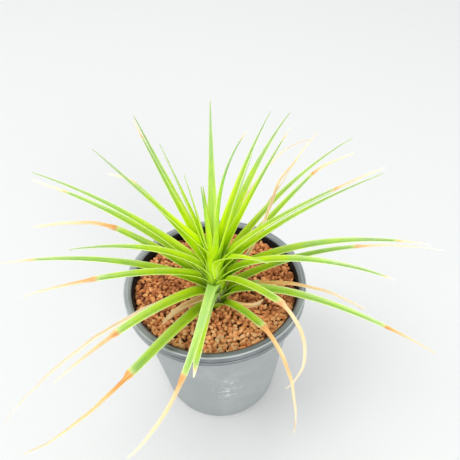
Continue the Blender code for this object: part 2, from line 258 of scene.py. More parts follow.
def apply_modifiers(obj: bpy.types.Object) -> None:
    """Turns an object's evaluated mesh into its own mesh.

    Args:
        obj: The object, which loses its modifiers.
    """
    graph = bpy.context.evaluated_depsgraph_get()
    mesh = bpy.data.meshes.new_from_object(obj.evaluated_get(graph))
    obj.modifiers.clear()
    obj.data = mesh


def declare(piece: bpy.types.Object, slot: Slot, *nodes: str) -> None:
    """Lets a piece ride on the body, logs its slot, and hides the CAD nodes that it stands for.

    Args:
        piece: The finished piece.
        slot: The record's slot, which is only logged.
        nodes: The CAD nodes that it replaces.
    """
    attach(piece, BODY)
    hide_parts(*nodes)
    mesh = piece.data
    mesh.calc_loop_triangles()
    log.info("%s: %d triangles, slot %s", piece.name, len(mesh.loop_triangles), slot.value)


@dataclass(frozen=True)
class MouldedPolypropylene:
    """Recycled polypropylene, injection moulded: blue-grey, with a satin skin.

    Handling leaves a paler haze and fine scratches on the wall, and hard water and grit leave white specks.
    The inside is painted near black and the rim darker than the wall, both as shade. The pale edges are
    partly worn and partly a painted highlight, and the grooves are painted with shade.
    """

    name: str = "moulded_polypropylene"
    wall: str = "#949a9b"
    haze: str = "#aeb2b2"
    # painted shade: the rim is darker than the wall, though it is the same plastic
    rim: str = "#6c7479"
    swirl: str = "#aab0b2"
    # the pale edges: partly wear, partly a painted highlight
    worn: str = "#bcc2c2"
    # painted shade in the grooves and recesses; it also darkens the front of the rim
    dark_slate: str = "#3c4246"
    # painted shade: the inside of the mouth is near black
    inside: str = "#141619"
    lime: str = "#d5d8d7"
    haze_mm: float = 16.0
    scratch_mm: float = 6.0
    lime_mm: float = 9.0  # the size of the patches that have specks
    knock_mm: float = 3.0
    grain_mm: float = 1.1
    speck_mm: float = 2.2
    swirl_mm: float = 0.8
    scuffs_at: tuple[float, float, float] = (5.0, -42.0, 43.0)
    scuffs_size: tuple[float, float, float] = (9.0, 30.0, 16.0)

    def build(self) -> bpy.types.Material:
        """Lays haze, turning marks, specks, scuffs, a darker front and paler left side, worn edges with
        painted highlights, and painted shade over the plastic's colour.

        It reads Object coordinates and two attributes: "inside", where the inside is painted near black as
        shade, and a second one, which is 1 on edges that are worn pale and painted with a highlight, and -1
        in grooves and recesses that are painted with shade.

        Returns:
            The material.
        """
        material, add, shader = new_material(self.name)
        place = add("TexCoord").outputs["Object"]
        sideways, across, height = add("SeparateXYZ", {}, {"Vector": place}).outputs
        # handling wears the wall round the pot, so the scratches are long sideways and short upwards
        turned = add("Mapping", {"Scale": (0.8, 0.8, 1.6)}, {"Vector": place})
        haze, scratch, sparse, knocks, grain = (
            add(
                "TexNoise",
                {"Scale": 1.0 / (size * MM), "Detail": detail, "Roughness": rough},
                {"Vector": source},
            )
            for source, size, detail, rough in (
                (place, self.haze_mm, 4.0, 0.5),
                (turned, self.scratch_mm, 6.0, 0.7),
                (place, self.lime_mm, 2.0, 0.5),
                (place, self.knock_mm, 4.0, 0.65),
                (place, self.grain_mm, 3.0, 0.5),
            )
        )
        cells = add("TexVoronoi", {"Scale": 1.0 / (self.speck_mm * MM)}, {"Vector": place})
        # the mould's turning marks run round the flange: noise that is short outwards and long round it
        flat = add("VectorMath", {"operation": "MULTIPLY", 1: (1.0, 1.0, 0.0)}, {0: place})
        outwards = add("VectorMath", {"operation": "LENGTH"}, {0: flat})
        along = add("VectorMath", {"operation": "NORMALIZE"}, {0: flat})
        along = add("VectorMath", {"operation": "SCALE", "Scale": 1.6}, {0: along})
        apart = add("Math", {"operation": "MULTIPLY", 1: 1.0 / (self.swirl_mm * MM)}, {0: outwards})
        ringed = add("CombineXYZ", {}, {"Z": apart})
        ringed = add("VectorMath", {"operation": "ADD"}, {0: along, 1: ringed})
        marks = add("TexNoise", {"Scale": 1.0, "Detail": 3.0, "Roughness": 0.7}, {"Vector": ringed})
        # a patch of the wall is scuffed white where it was knocked about
        centre = tuple(value * MM for value in self.scuffs_at)
        spread = tuple(1.0 / (value * MM) for value in self.scuffs_size)
        patch = add("VectorMath", {"operation": "SUBTRACT", 1: centre}, {0: place})
        patch = add("VectorMath", {"operation": "MULTIPLY", 1: spread}, {0: patch})
        patch = add("VectorMath", {"operation": "LENGTH"}, {0: patch})
        worn = add("Math", {"operation": "MULTIPLY"}, {0: haze, 1: scratch})
        wear = add("Attribute", {"attribute_name": "wear"}).outputs["Fac"]
        within = add("Attribute", {"attribute_name": "inside"}).outputs["Fac"]
        worn, up, marks, spot, sparse, patch, knocks, darker_front, bleached, wear_and_highlight, groove_shade = (
            add("MapRange", {"From Min": low, "From Max": high, "To Max": most}, {"Value": source})
            for source, low, high, most in (
                # what it follows, where it starts, where it is full, and how much it covers there
                (worn, 0.22, 0.4, 0.5),
                (height, 84.0 * MM, 85.0 * MM, 0.85),
                (marks, 0.46, 0.7, 0.9),
                (cells, 0.16, 0.05, 1.0),
                (sparse, 0.5, 0.72, 0.8),
                (patch, 1.1, 0.4, 0.8),
                (knocks, 0.52, 0.6, 1.0),
                (across, -20.0 * MM, -46.0 * MM, 0.55),
                (sideways, -14.0 * MM, -46.0 * MM, 0.5),
                (wear, 0.1, 1.0, 0.7),
                (wear, -0.2, -1.0, 0.8),
            )
        )
        # the front of the rim is darker, and its left side paler
        marks, specks, scuffed, darker_front, bleached = (
            add("Math", {"operation": "MULTIPLY"}, {0: cover, 1: part})
            for cover, part in ((marks, up), (spot, sparse), (patch, knocks), (darker_front, up), (bleached, up))
        )
        colour = add("Mix", {"data_type": "RGBA", 6: linear(self.wall), 7: linear(self.haze)}, {0: worn})
        for cover, tint in (
            # painted shade: the whole rim is darker than the wall
            (up, self.rim),
            (marks, self.swirl),
            (specks, self.lime),
            (scuffed, self.lime),
            (darker_front, self.dark_slate),
            (bleached, self.haze),
            # edges worn pale with a painted highlight, then painted shade in the grooves and recesses
            (wear_and_highlight, self.worn),
            (groove_shade, self.dark_slate),
            # painted shade: the inside is near black
            (within, self.inside),
        ):
            colour = add("Mix", {"data_type": "RGBA", 7: linear(tint)}, {0: cover, 6: colour})
        gloss = add("MapRange", {"To Min": 0.36, "To Max": 0.5}, {"Value": worn})
        shine = add("MapRange", {"To Min": 0.5, "To Max": 0.1}, {"Value": within})
        relief = add("Bump", {"Strength": 0.25, "Distance": 0.1 * MM}, {"Height": grain})
        looks = {"Base Color": colour, "Roughness": gloss, "Specular IOR Level": shine, "Normal": relief}
        fill(shader, {"IOR": 1.49}, looks)
        return material


@dataclass(frozen=True)
class FiredClay:
    """Low-fired clay, crushed and sieved: matt orange-brown lumps, each with its own depth of firing.

    Broken faces are paler, and the open pores show as fine pits whose hollows are painted dark as shade.
    """

    name: str = "fired_clay_granules"
    tones: tuple[str, ...] = ("#8e5236", "#c88050", "#f4aa6c", "#fdc284", "#ffd6a4")
    # painted shade in the pores' hollows
    pit_shade: str = "#6a3a20"
    pore_mm: float = 0.7
    patch_mm: float = 2.6

    def build(self) -> bpy.types.Material:
        """Gives each granule its own tone, mottles it and darkens its pits.

        It reads Object coordinates and the attribute "firing", the granule's tone from 0 to 1.

        Returns:
            The material.
        """
        material, add, shader = new_material(self.name)
        place = add("TexCoord").outputs["Object"]
        firing = add("Attribute", {"attribute_name": "firing"}).outputs["Fac"]
        patch, pores = (
            add(
                "TexNoise",
                {"Scale": 1.0 / (size * MM), "Detail": detail, "Roughness": rough},
                {"Vector": place},
            )
            for size, detail, rough in ((self.patch_mm, 5.0, 0.5), (self.pore_mm, 6.0, 0.7))
        )
        swing = {"From Min": 0.3, "From Max": 0.7, "To Min": -0.22, "To Max": 0.22}
        shift = add("MapRange", swing, {"Value": patch})
        tone = add("Math", {"operation": "ADD", "use_clamp": True}, {0: firing, 1: shift})
        steps = np.linspace(0.0, 1.0, len(self.tones)).tolist()
        colour = add("ValToRGB", {}, {"Fac": tone}, tuple(zip(steps, self.tones)))
        # painted shade: the pores' hollows are darker
        pit = add("MapRange", {"From Min": 0.42, "From Max": 0.3, "To Max": 0.7}, {"Value": pores})
        colour = add("Mix", {"data_type": "RGBA", 7: linear(self.pit_shade)}, {0: pit, 6: colour})
        relief = add("Bump", {"Strength": 0.7, "Distance": 0.35 * MM}, {"Height": pores})
        matt = {"Roughness": 0.95, "Specular IOR Level": 0.25}
        fill(shader, matt, {"Base Color": colour, "Normal": relief})
        return material


@dataclass(frozen=True)
class FinesInShade:
    """Clay fines and crumbs between the granules, painted dark brown as the shade in the gaps."""

    name: str = "clay_fines_in_painted_shade"
    # painted shade: the fines are dark brown where they show in the gaps between the granules
    dark: str = "#2c1a10"
    light: str = "#5a3820"
    crumb_mm: float = 1.4

    def build(self) -> bpy.types.Material:
        """Mottles the fines with darker and lighter crumbs. It reads Object coordinates.

        Returns:
            The material.
        """
        material, add, shader = new_material(self.name)
        place = add("TexCoord").outputs["Object"]
        crumbs = add("TexNoise", {"Scale": 1.0 / (self.crumb_mm * MM), "Detail": 4.0}, {"Vector": place})
        colour = add("ValToRGB", {}, {"Fac": crumbs}, ((0.35, self.dark), (0.65, self.light)))
        relief = add("Bump", {"Strength": 0.8, "Distance": 0.5 * MM}, {"Height": crumbs})
        fill(shader, {"Roughness": 0.85}, {"Base Color": colour, "Normal": relief})
        return material


@dataclass(frozen=True)
class LeafTissue:
    """Bromeliad leaf: lime at the heart, mid green along the blade, greyer at the tip.

    Parallel veins run the whole length, and the thin edges are painted pale for the light that they let
    through. The underside is bluer and frosted with fine scales, and painted darker as shade, as are the
    channel's bottom and the feet of the lower leaves. A dried end is orange-brown where it meets the green,
    then straw, then bleached to cream. The veins are 0.4 mm apart on the real leaf and are drawn 1.3 mm
    apart, because a pixel of the picture is 1 mm.
    """

    name: str = "leaf_tissue"
    green: Ramp = (
        (0.0, "#dcfa00"), (0.2, "#cae41e"), (0.45, "#aed060"), (0.75, "#aec886"), (1.0, "#a8bc98"),
    )
    vein: Ramp = ((0.0, "#ecff4c"), (0.5, "#d4ea9c"), (1.0, "#ccd8b4"))
    # dark streaks, and also the painted shade along the channel's bottom
    groove: Ramp = ((0.0, "#b2d600"), (0.5, "#78b028"), (1.0, "#809c6a"))
    # painted light: the thin edges are pale with the light that they let through
    edge: Ramp = ((0.0, "#e6fc60"), (0.4, "#eefac0"), (1.0, "#eef2de"))
    # the underside: bluer, and painted darker as shade
    under: Ramp = ((0.0, "#bce610"), (0.5, "#8cc65c"), (1.0, "#8ea67e"))
    frost: Ramp = ((0.0, "#d0f040"), (0.5, "#c8ecb8"), (1.0, "#dce8d4"))
    frosted: str = "#b6dca0"
    # painted shade at the feet of the lower leaves
    shaded: str = "#5e8c14"
    turning: str = "#e0e0a0"
    bleached: Ramp = (
        (0.0, "#e8b084"), (0.04, "#f4cc9c"), (0.16, "#f9e0be"), (0.5, "#fbebd0"), (1.0, "#fbf2e0"),
    )
    tan: Ramp = ((0.0, "#dc9648"), (0.12, "#f2b260"), (0.3, "#facc8c"), (0.6, "#fbdeb0"), (1.0, "#fae6c8"))
    rust: str = "#c07c3a"
    vein_mm: float = 1.3
    streak_mm: float = 26.0
    reads: tuple[str, ...] = ("lay", "life", "cast", "edge", "under")

    def build(self) -> bpy.types.Material:
        """Lays veins, frost and pale edges over the green, and puts straw where it has dried.

        It reads five attributes. "lay" holds mm across the blade, mm along it and the leaf's number; "life"
        holds mm past the front of the dried end, the share of that end, and the green's tone from heart to
        tip; "cast" holds how tan what has dried is, how frosted the green is and how much painted shade
        darkens the feet of the lower leaves; "edge" is 1 at the blade's edges and 0 in its middle, and
        "under" is 1 on its underside.

        Returns:
            The material.
        """
        material, add, shader = new_material(self.name)
        stored = {label: add("Attribute", {"attribute_name": label}).outputs for label in self.reads}
        lay, life, cast = (stored[label]["Vector"] for label in ("lay", "life", "cast"))
        edge, under = stored["edge"]["Fac"], stored["under"]["Fac"]
        past_front, dry_share, tone = add("SeparateXYZ", {}, {"Vector": life}).outputs
        tanned, frosting, shade = add("SeparateXYZ", {}, {"Vector": cast}).outputs
        # all three are short across the blade and long along it
        streak, blotch, scales = (
            add(
                "TexNoise",
                {"Scale": 1.0, "Detail": detail, "Roughness": rough},
                {"Vector": add("VectorMath", {"operation": "MULTIPLY", 1: spread}, {0: lay})},
            )
            for spread, detail, rough in (
                ((1.0 / self.vein_mm, 1.0 / self.streak_mm, 7.3), 3.0, 0.6),
                ((0.25, 0.09, 3.1), 3.0, 0.5),
                ((0.9, 0.45, 5.7), 6.0, 0.75),
            )
        )
        shift, weathered, ragged = (
            add(
                "MapRange",
                {"From Min": 0.3, "From Max": 0.7, "To Min": -most, "To Max": most},
                {"Value": source},
            )
            for source, most in ((blotch, 0.12), (blotch, 0.1), (streak, 1.0))
        )
        tone = add("Math", {"operation": "ADD", "use_clamp": True}, {0: tone, 1: shift})
        green = add("ValToRGB", {}, {"Fac": tone}, self.green)
        for stops, source, low, high, most in (
            # the colours, what the cover follows, where it starts, where it is full, and its share there
            (self.vein, streak, 0.54, 0.72, 0.6),
            (self.groove, streak, 0.48, 0.3, 0.75),
            # painted shade: the channel's bottom is darker along the middle of the blade
            (self.groove, edge, 0.5, 0.0, 0.6),
            # the underside: bluer, and painted darker as shade
            (self.under, under, 0.0, 1.0, 0.8),
            (self.frost, scales, 0.52, 0.78, 0.55),
            # painted light: the thin edges are paler for the light let through them
            (self.edge, edge, 0.72, 1.0, 0.85),
        ):
            cover = add("MapRange", {"From Min": low, "From Max": high, "To Max": most}, {"Value": source})
            layer = add("ValToRGB", {}, {"Fac": tone}, stops)
            green = add("Mix", {"data_type": "RGBA"}, {0: cover, 6: green, 7: layer})
        yellowed, rusty, brown_middle = (
            add("MapRange", {"From Min": low, "From Max": high, "To Max": most}, {"Value": source})
            for source, low, high, most in (
                (past_front, -3.0, -0.5, 0.6),
                (streak, 0.5, 0.66, 0.75),
                (edge, 0.3, 0.0, 0.3),
            )
        )
        # painted shade at the feet of the lower leaves, then frost and the yellowing before the drying
        # front
        for cover, tint in ((shade, self.shaded), (frosting, self.frosted), (yellowed, self.turning)):
            green = add("Mix", {"data_type": "RGBA", 7: linear(tint)}, {0: cover, 6: green})

        weathered = add("Math", {"operation": "ADD", "use_clamp": True}, {0: dry_share, 1: weathered})
        pale = add("ValToRGB", {}, {"Fac": weathered}, self.bleached)
        brown = add("ValToRGB", {}, {"Fac": weathered}, self.tan)
        straw = add("Mix", {"data_type": "RGBA"}, {0: tanned, 6: pale, 7: brown})
        # a dried end is browner along its middle
        rusty = add("Math", {"operation": "MAXIMUM"}, {0: rusty, 1: brown_middle})
        rusty = add("Math", {"operation": "MULTIPLY"}, {0: rusty, 1: tanned})
        straw = add("Mix", {"data_type": "RGBA", 7: linear(self.rust)}, {0: rusty, 6: straw})

        front = add("Math", {"operation": "ADD"}, {0: past_front, 1: ragged})
        dry = add("MapRange", {"From Min": -0.8, "From Max": 0.8}, {"Value": front})
        colour = add("Mix", {"data_type": "RGBA"}, {0: dry, 6: green, 7: straw})
        rough = add("MapRange", {"To Min": 0.4, "To Max": 0.75}, {"Value": dry})
        # the waxy skin that reflects the sky is thinner on young tissue
        waxy = add("MapRange", {"From Max": 0.5, "To Min": 0.15, "To Max": 0.5}, {"Value": tone})
        relief = add("Bump", {"Strength": 0.5, "Distance": 0.25 * MM}, {"Height": streak})
        lit_through = {
            "Subsurface Weight": 0.35,
            "Subsurface Radius": (1.0, 1.0, 0.3),
            "Subsurface Scale": 1.2 * MM,
            "IOR": 1.45,
        }
        looks = {"Base Color": colour, "Roughness": rough, "Specular IOR Level": waxy, "Normal": relief}
        fill(shader, lit_through, looks)
        return material


@dataclass(frozen=True)
class OldSheath:
    """The clasping bases of leaves that were stripped off: papery, pale olive with whitish fibres."""

    name: str = "old_leaf_sheath"
    olive: str = "#8f9a58"
    brown: str = "#6d5a34"
    fibre: str = "#d8dcb8"
    lime: str = "#9cc40c"
    fibre_mm: float = 0.9
    patch_mm: float = 5.0

    def build(self) -> bpy.types.Material:
        """Draws pale fibres over patches of olive and brown. It reads Object coordinates.

        Returns:
            The material.
        """
        material, add, shader = new_material(self.name)
        place = add("TexCoord").outputs["Object"]
        long = add("Mapping", {"Scale": (1.0, 1.0, 0.12)}, {"Vector": place})
        fibres = add("TexNoise", {"Scale": 1.0 / (self.fibre_mm * MM), "Detail": 4.0}, {"Vector": long})
        patches = add("TexNoise", {"Scale": 1.0 / (self.patch_mm * MM), "Detail": 3.0}, {"Vector": place})
        colour = add("ValToRGB", {}, {"Fac": patches}, ((0.35, self.brown), (0.55, self.olive)))
        height = add("SeparateXYZ", {}, {"Vector": place}).outputs["Z"]
        young = add("MapRange", {"From Min": 96.0 * MM, "From Max": 103.0 * MM}, {"Value": height})
        pale = add("MapRange", {"From Min": 0.5, "From Max": 0.68, "To Max": 0.85}, {"Value": fibres})
        for cover, tint in ((pale, self.fibre), (young, self.lime)):
            colour = add("Mix", {"data_type": "RGBA", 7: linear(tint)}, {0: cover, 6: colour})
        relief = add("Bump", {"Strength": 0.6, "Distance": 0.3 * MM}, {"Height": fibres})
        fill(shader, {"Roughness": 0.7}, {"Base Color": colour, "Normal": relief})
        return material


@dataclass(frozen=True)
class SeamlessPaper:
    """The matt, cool white paper that the pot stands on."""

    name: str = "seamless_paper"
    colour: str = "#dedfde"

    def build(self) -> bpy.types.Material:
        """Leaves the paper plain and matt.

        Returns:
            The material.
        """
        material, _, shader = new_material(self.name)
        fill(shader, {"Base Color": linear(self.colour), "Roughness": 0.9, "Specular IOR Level": 0.1}, {})
        return material


@dataclass
class NurseryPot:
    """A 105 mm nursery pot: floor on a foot ring, tapering wall, flat rim and a grooved skirt."""

    rim_radius: float = 52.5
    height: float = 92.3
    base_radius: float = 36.8
    wall_top_radius: float = 48.6
    wall: float = 0.9
    mouth_radius: float = 50.0
    mouth_depth: float = 2.6  # how far below the top the wall starts to turn out to the mouth
    shade_radius: float = 48.8  # where the painted shade inside the mouth starts
    flange: float = 1.3
    skirt_depth: float = 7.7
    skirt_wall: float = 1.6
    groove_height: float = 88.6
    groove_width: float = 1.3
    groove_depth: float = 0.7
    groove_slope: float = 0.25  # how much lower its sides are at its bottom
    bead_inset: float = 0.1
    floor_top: float = 2.6
    foot_round: float = 2.0
    foot_width: float = 5.0
    foot_rise: float = 1.2
    boss_radius: float = 8.0
    drain_holes: int = 8
    drain_radius: float = 3.4
    drain_circle: float = 20.0
    sides: int = 160
    round_steps: int = 4
    support: float = 0.3  # how far past a rounding, as a share of it, a ring keeps its flanks flat
    drill_sides: int = 40

    def outer(self, height: float) -> float:
        """Outer radius of the wall at a height."""
        return self.base_radius + (self.wall_top_radius - self.base_radius) * height / self.height

    def inner(self, height: float) -> float:
        """Inner radius of the wall at a height."""
        return self.outer(height) - self.wall

    def profile(self) -> tuple[np.ndarray, np.ndarray, np.ndarray]:
        """Works out the half section, up the inside and down the outside, with its corners rounded.

        A corner with radius r is cut back by r along both of its sides and replaced by the points of a
        quadratic curve (1-t)^2 a + 2t(1-t) c + t^2 b. One more point on each flank keeps its shading flat.

        Returns:
            The points (radius, height), for each whether it is on the inside, 1 or 0, and its edge value:
            over 0 worn pale and painted lit, under 0 painted in shade.
        """
        throat = self.height - self.mouth_depth
        share = (self.mouth_radius - self.shade_radius) / (self.mouth_radius - self.inner(throat))
        shade_height = self.height - self.mouth_depth * share
        under = self.height - self.flange
        foot = self.height - self.skirt_depth
        bead = self.rim_radius - self.bead_inset
        groove = self.rim_radius - self.groove_depth
        low_groove = self.groove_height - self.groove_width
        foot_inner = self.base_radius - self.foot_round - self.foot_width
        corners = [
            # radius, height, rounding, whether the stretch up to it is inside and painted near black as
            # shade, and
            # its edge value: over 0 worn pale with a painted highlight, under 0 a groove or recess painted
            # with shade
            (self.inner(self.floor_top), self.floor_top, 1.0, 1, 0.0),
            (self.inner(throat), throat, 0.6, 1, 0.0),
            (self.shade_radius, shade_height, 0.2, 1, 0.0),
            (self.mouth_radius, self.height, 0.6, 0, 0.2),
            (self.rim_radius, self.height, 0.6, 0, 1.0),
            (self.rim_radius, self.groove_height, 0.15, 0, 0.4),
            (groove, self.groove_height - self.groove_slope, 0.2, 0, -1.0),
            (groove, low_groove + self.groove_slope, 0.2, 0, -1.0),
            (bead, low_groove, 0.25, 0, 0.5),
            (bead, foot, 0.5, 0, 1.0),
            (self.rim_radius - self.skirt_wall, foot, 0.2, 0, -1.0),
            (self.rim_radius - self.skirt_wall, under, 0.3, 0, -1.0),
            (self.outer(under), under, 0.4, 0, 0.0),
            (self.base_radius, 0.0, self.foot_round, 0, 0.0),
            (foot_inner, 0.0, 0.4, 0, 0.0),
            (foot_inner - self.foot_rise, self.foot_rise, 0.4, 0, 0.0),
            (self.boss_radius + self.foot_rise, self.foot_rise, 0.4, 0, 0.0),
            (self.boss_radius, 0.0, 0.3, 0, 0.0),
        ]
        ends = np.array([(0.0, self.floor_top), (0.0, 0.0)])
        places = np.array([corner[:2] for corner in corners])
        cut = np.array([corner[2] for corner in corners])[:, None]
        before = np.vstack([ends[:1], places[:-1]]) - places
        after = np.vstack([places[1:], ends[1:]]) - places
        a = places + before / np.linalg.norm(before, axis=1, keepdims=True) * cut
        b = places + after / np.linalg.norm(after, axis=1, keepdims=True) * cut
        t = np.linspace(0.0, 1.0, self.round_steps + 1)[:, None, None]
        curve = (1 - t) ** 2 * a + 2 * t * (1 - t) * places + t**2 * b
        flanks = [(cut_back + (cut_back - places) * self.support)[None] for cut_back in (a, b)]
        points = np.concatenate([flanks[0], curve, flanks[1]]).transpose(1, 0, 2).reshape(-1, 2)
        reached = np.array([corner[3] for corner in corners], float)
        left = np.append(reached[1:], 0.0)
        count = self.round_steps + 3
        inside = np.repeat(reached[:, None], count, 1)
        inside[:, self.round_steps :] = left[:, None]
        wear = np.repeat(np.array([corner[4] for corner in corners])[:, None], count, 1)
        wear[:, [0, -1]] = np.minimum(wear[:, [0, -1]], 0.0)
        inside = np.concatenate([[1.0], inside.ravel(), [0.0]])
        wear = np.concatenate([[0.0], wear.ravel(), [0.0]])
        return np.vstack([ends[:1], points, ends[1:]]), inside, wear

    def build(self, finish: bpy.types.Material) -> None:
        """Turns the profile round the Z axis and drills the floor.

        Args:
            finish: The pot's plastic.
        """
        section, inside, wear = self.profile()
        points, quads, fans = revolve(section, self.sides)
        attributes = {
            label: np.concatenate([np.repeat(values[1:-1], self.sides), values[[0, -1]]])
            for label, values in (("inside", inside), ("wear", wear))
        }
        pot = add_piece("nursery_pot", points, quads.tolist() + fans.tolist(), finish, 35.0, attributes)

        centre, ring = (
            radius * np.stack([np.cos(angle), np.sin(angle)], 1)
            for radius, angle in (
                (self.drain_circle, circle(self.drain_holes)),
                (self.drain_radius, circle(self.drill_sides)),
            )
        )
        drill = np.empty((self.drain_holes, 2, self.drill_sides, 3))
        drill[..., :2] = centre[:, None, None] + ring
        drill[..., 2] = [[-2 * self.floor_top], [2 * self.floor_top]]
        faces = []
        for first in range(0, drill.size // 3, 2 * self.drill_sides):
            low, high, end = first, first + self.drill_sides, first + 2 * self.drill_sides
            faces += (grid_quads(2, self.drill_sides, closed=True) + first).tolist()
            faces += [list(range(low, high))[::-1], list(range(high, end))]
        cutter = add_piece("drain_cutter", drill.reshape(-1, 3), faces, finish)
        drain = pot.modifiers.new("drain holes", "BOOLEAN")
        drain.operation = "DIFFERENCE"
        drain.solver = "EXACT"
        drain.object = cutter
        apply_modifiers(pot)
        bpy.data.objects.remove(cutter, do_unlink=True)
        declare(pot, Slot.POT, "pot")


@dataclass(frozen=True)
class Crown:
    """The short stem with its growing point: a turned body that leans back a little."""

    foot_xy: tuple[float, float] = (1.5, -13.0)
    top_xy: tuple[float, float] = (0.5, -5.0)
    foot: float = 76.0
    top: float = 119.0
    profile: tuple[tuple[float, float], ...] = (
        # height and radius
        (76.0, 2.6), (84.0, 3.4), (90.0, 4.2), (97.0, 5.0), (106.0, 5.0), (113.0, 4.0), (119.0, 2.2),
    )

    def axis(self, height: np.ndarray) -> np.ndarray:
        """Finds the stem's middle, which leans evenly from the foot to the top.

        Args:
            height: The heights.

        Returns:
            A row (x, y, z) for each.
        """
        share = (height - self.foot) / (self.top - self.foot)
        foot, top = np.array(self.foot_xy), np.array(self.top_xy)
        middle = foot + (top - foot) * share[:, None]
        return np.column_stack([middle, height])

    def radius(self, height: np.ndarray) -> np.ndarray:
        """The stem's radius at each height, straight between the rows of its profile."""
        heights, radii = zip(*self.profile)
        return np.interp(height, heights, radii)


@dataclass(frozen=True)
class Leaf:
    """One leaf, described as it grows out of the crown.

    With s the share of the blade's length, its steepness is rise - droop * s^bend, less the hang of a limp
    dried end, and it points towards turn + sway * s^3.
    """

    name: str
    turn: float  # the way it points, anticlockwise from +X seen from above
    height: float  # where it leaves the crown
    rise: float  # steepness at the crown
    droop: float  # how much flatter it is at the tip
    bend: float  # under 1 the droop comes early, over 1 late
    sway: float  # how far it swings round by the tip
    length: float
    width: float
    dry: float = 0.0  # share of the length that has dried, from the tip
    hang: float = 0.0  # extra droop of the dry end
    life: Life = Life.LIVING
    full: float = 1.3  # over 1 the blade stays wide further up
    shrink: float = 0.3  # how much narrower its dried end is
    tan: float = 0.1  # how brown its dried end is: from 0, bleached, to 1
    frost: float = 0.0  # how thick its frost of pale scales is near the foot


HEART_LEAVES = (
    Leaf("back_1", 88, 116, 68, 18, 1.0, 0, 80, 6.4, full=1.0, frost=0.45),
    Leaf("left_4", 168, 117, 77, 4, 1.0, 0, 69, 5.2, full=1.0),
    Leaf("left_7", -176, 119, 56, 0, 1.0, 0, 82, 6.1, full=1.2),
    Leaf("right_2", -25, 117, 90, 32, 1.7, 0, 83, 5.7, 0.06, 10, full=1.2),
    Leaf("right_3", 45, 116, 73, 28, 1.0, 0, 80, 5.8, full=1.1),
    Leaf("right_11", -19, 113, 71, 33, 0.35, 0, 103, 6.2, 0.22, full=1.5),
    Leaf("right_16", -48, 115, 58, 36, 0.6, 0, 44, 5.0),
    Leaf("heart_5", -175, 117, 84, 4, 1.0, 0, 54, 3.6),
    Leaf("heart_6", -110, 117, 86, 4, 1.0, 0, 52, 3.4),
    Leaf("heart_r5", -5, 117, 77, 4, 1.0, 0, 66, 4.4),
    Leaf("heart_7", 110, 117, 84, 6, 1.0, 0, 40, 3.4),
    Leaf("heart_8", -70, 117, 82, 6, 1.0, 0, 34, 3.4),
)

